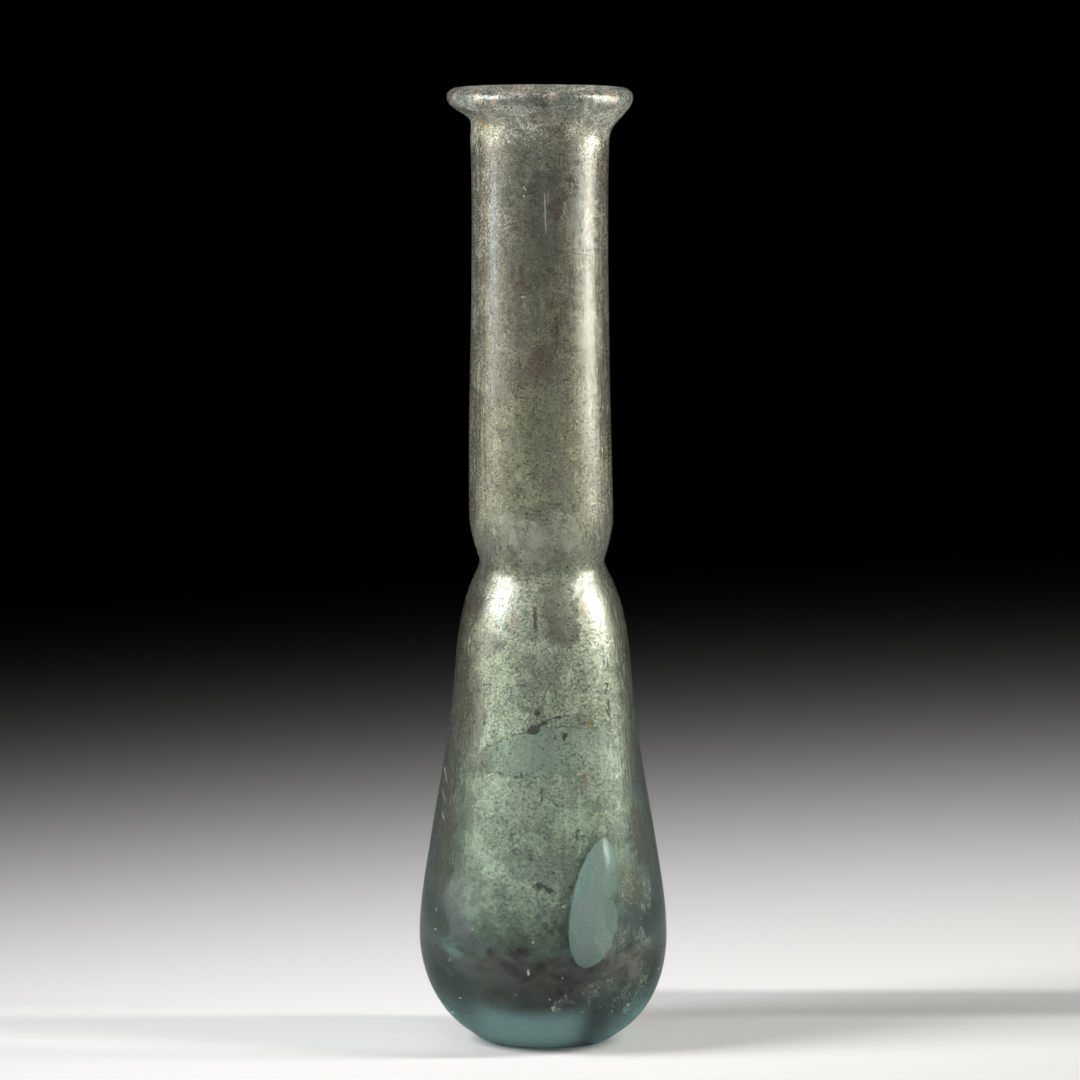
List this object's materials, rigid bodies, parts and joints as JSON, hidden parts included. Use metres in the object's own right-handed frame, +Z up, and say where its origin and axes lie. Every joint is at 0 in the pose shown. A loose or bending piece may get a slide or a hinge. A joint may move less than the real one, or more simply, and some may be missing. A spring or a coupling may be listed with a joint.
{
  "type": "glass perfume flask",
  "caption": "Ancient blown-glass perfume flask with a long tubular neck, a rolled lip, a pinched waist and a drop-shaped body, hollow and open at the mouth.",
  "frame": {"origin": "middle of the small flat underneath, on the surface that the flask stands on", "axes": "+Z up along the neck; -Y is the front, where the pinch of the waist dips lowest; +X is to the right, seen from the front"},
  "size_m": [0.0312, 0.0312, 0.12],
  "materials": {
    "weathered_glass": "bluish-green blown glass, dulled by a grey-beige weathering film in the neck and shoulder and clearer towards the heavy bottom"
  },
  "bodies": {
    "root": {"flask": "weathered_glass"}
  },
  "joints": []
}
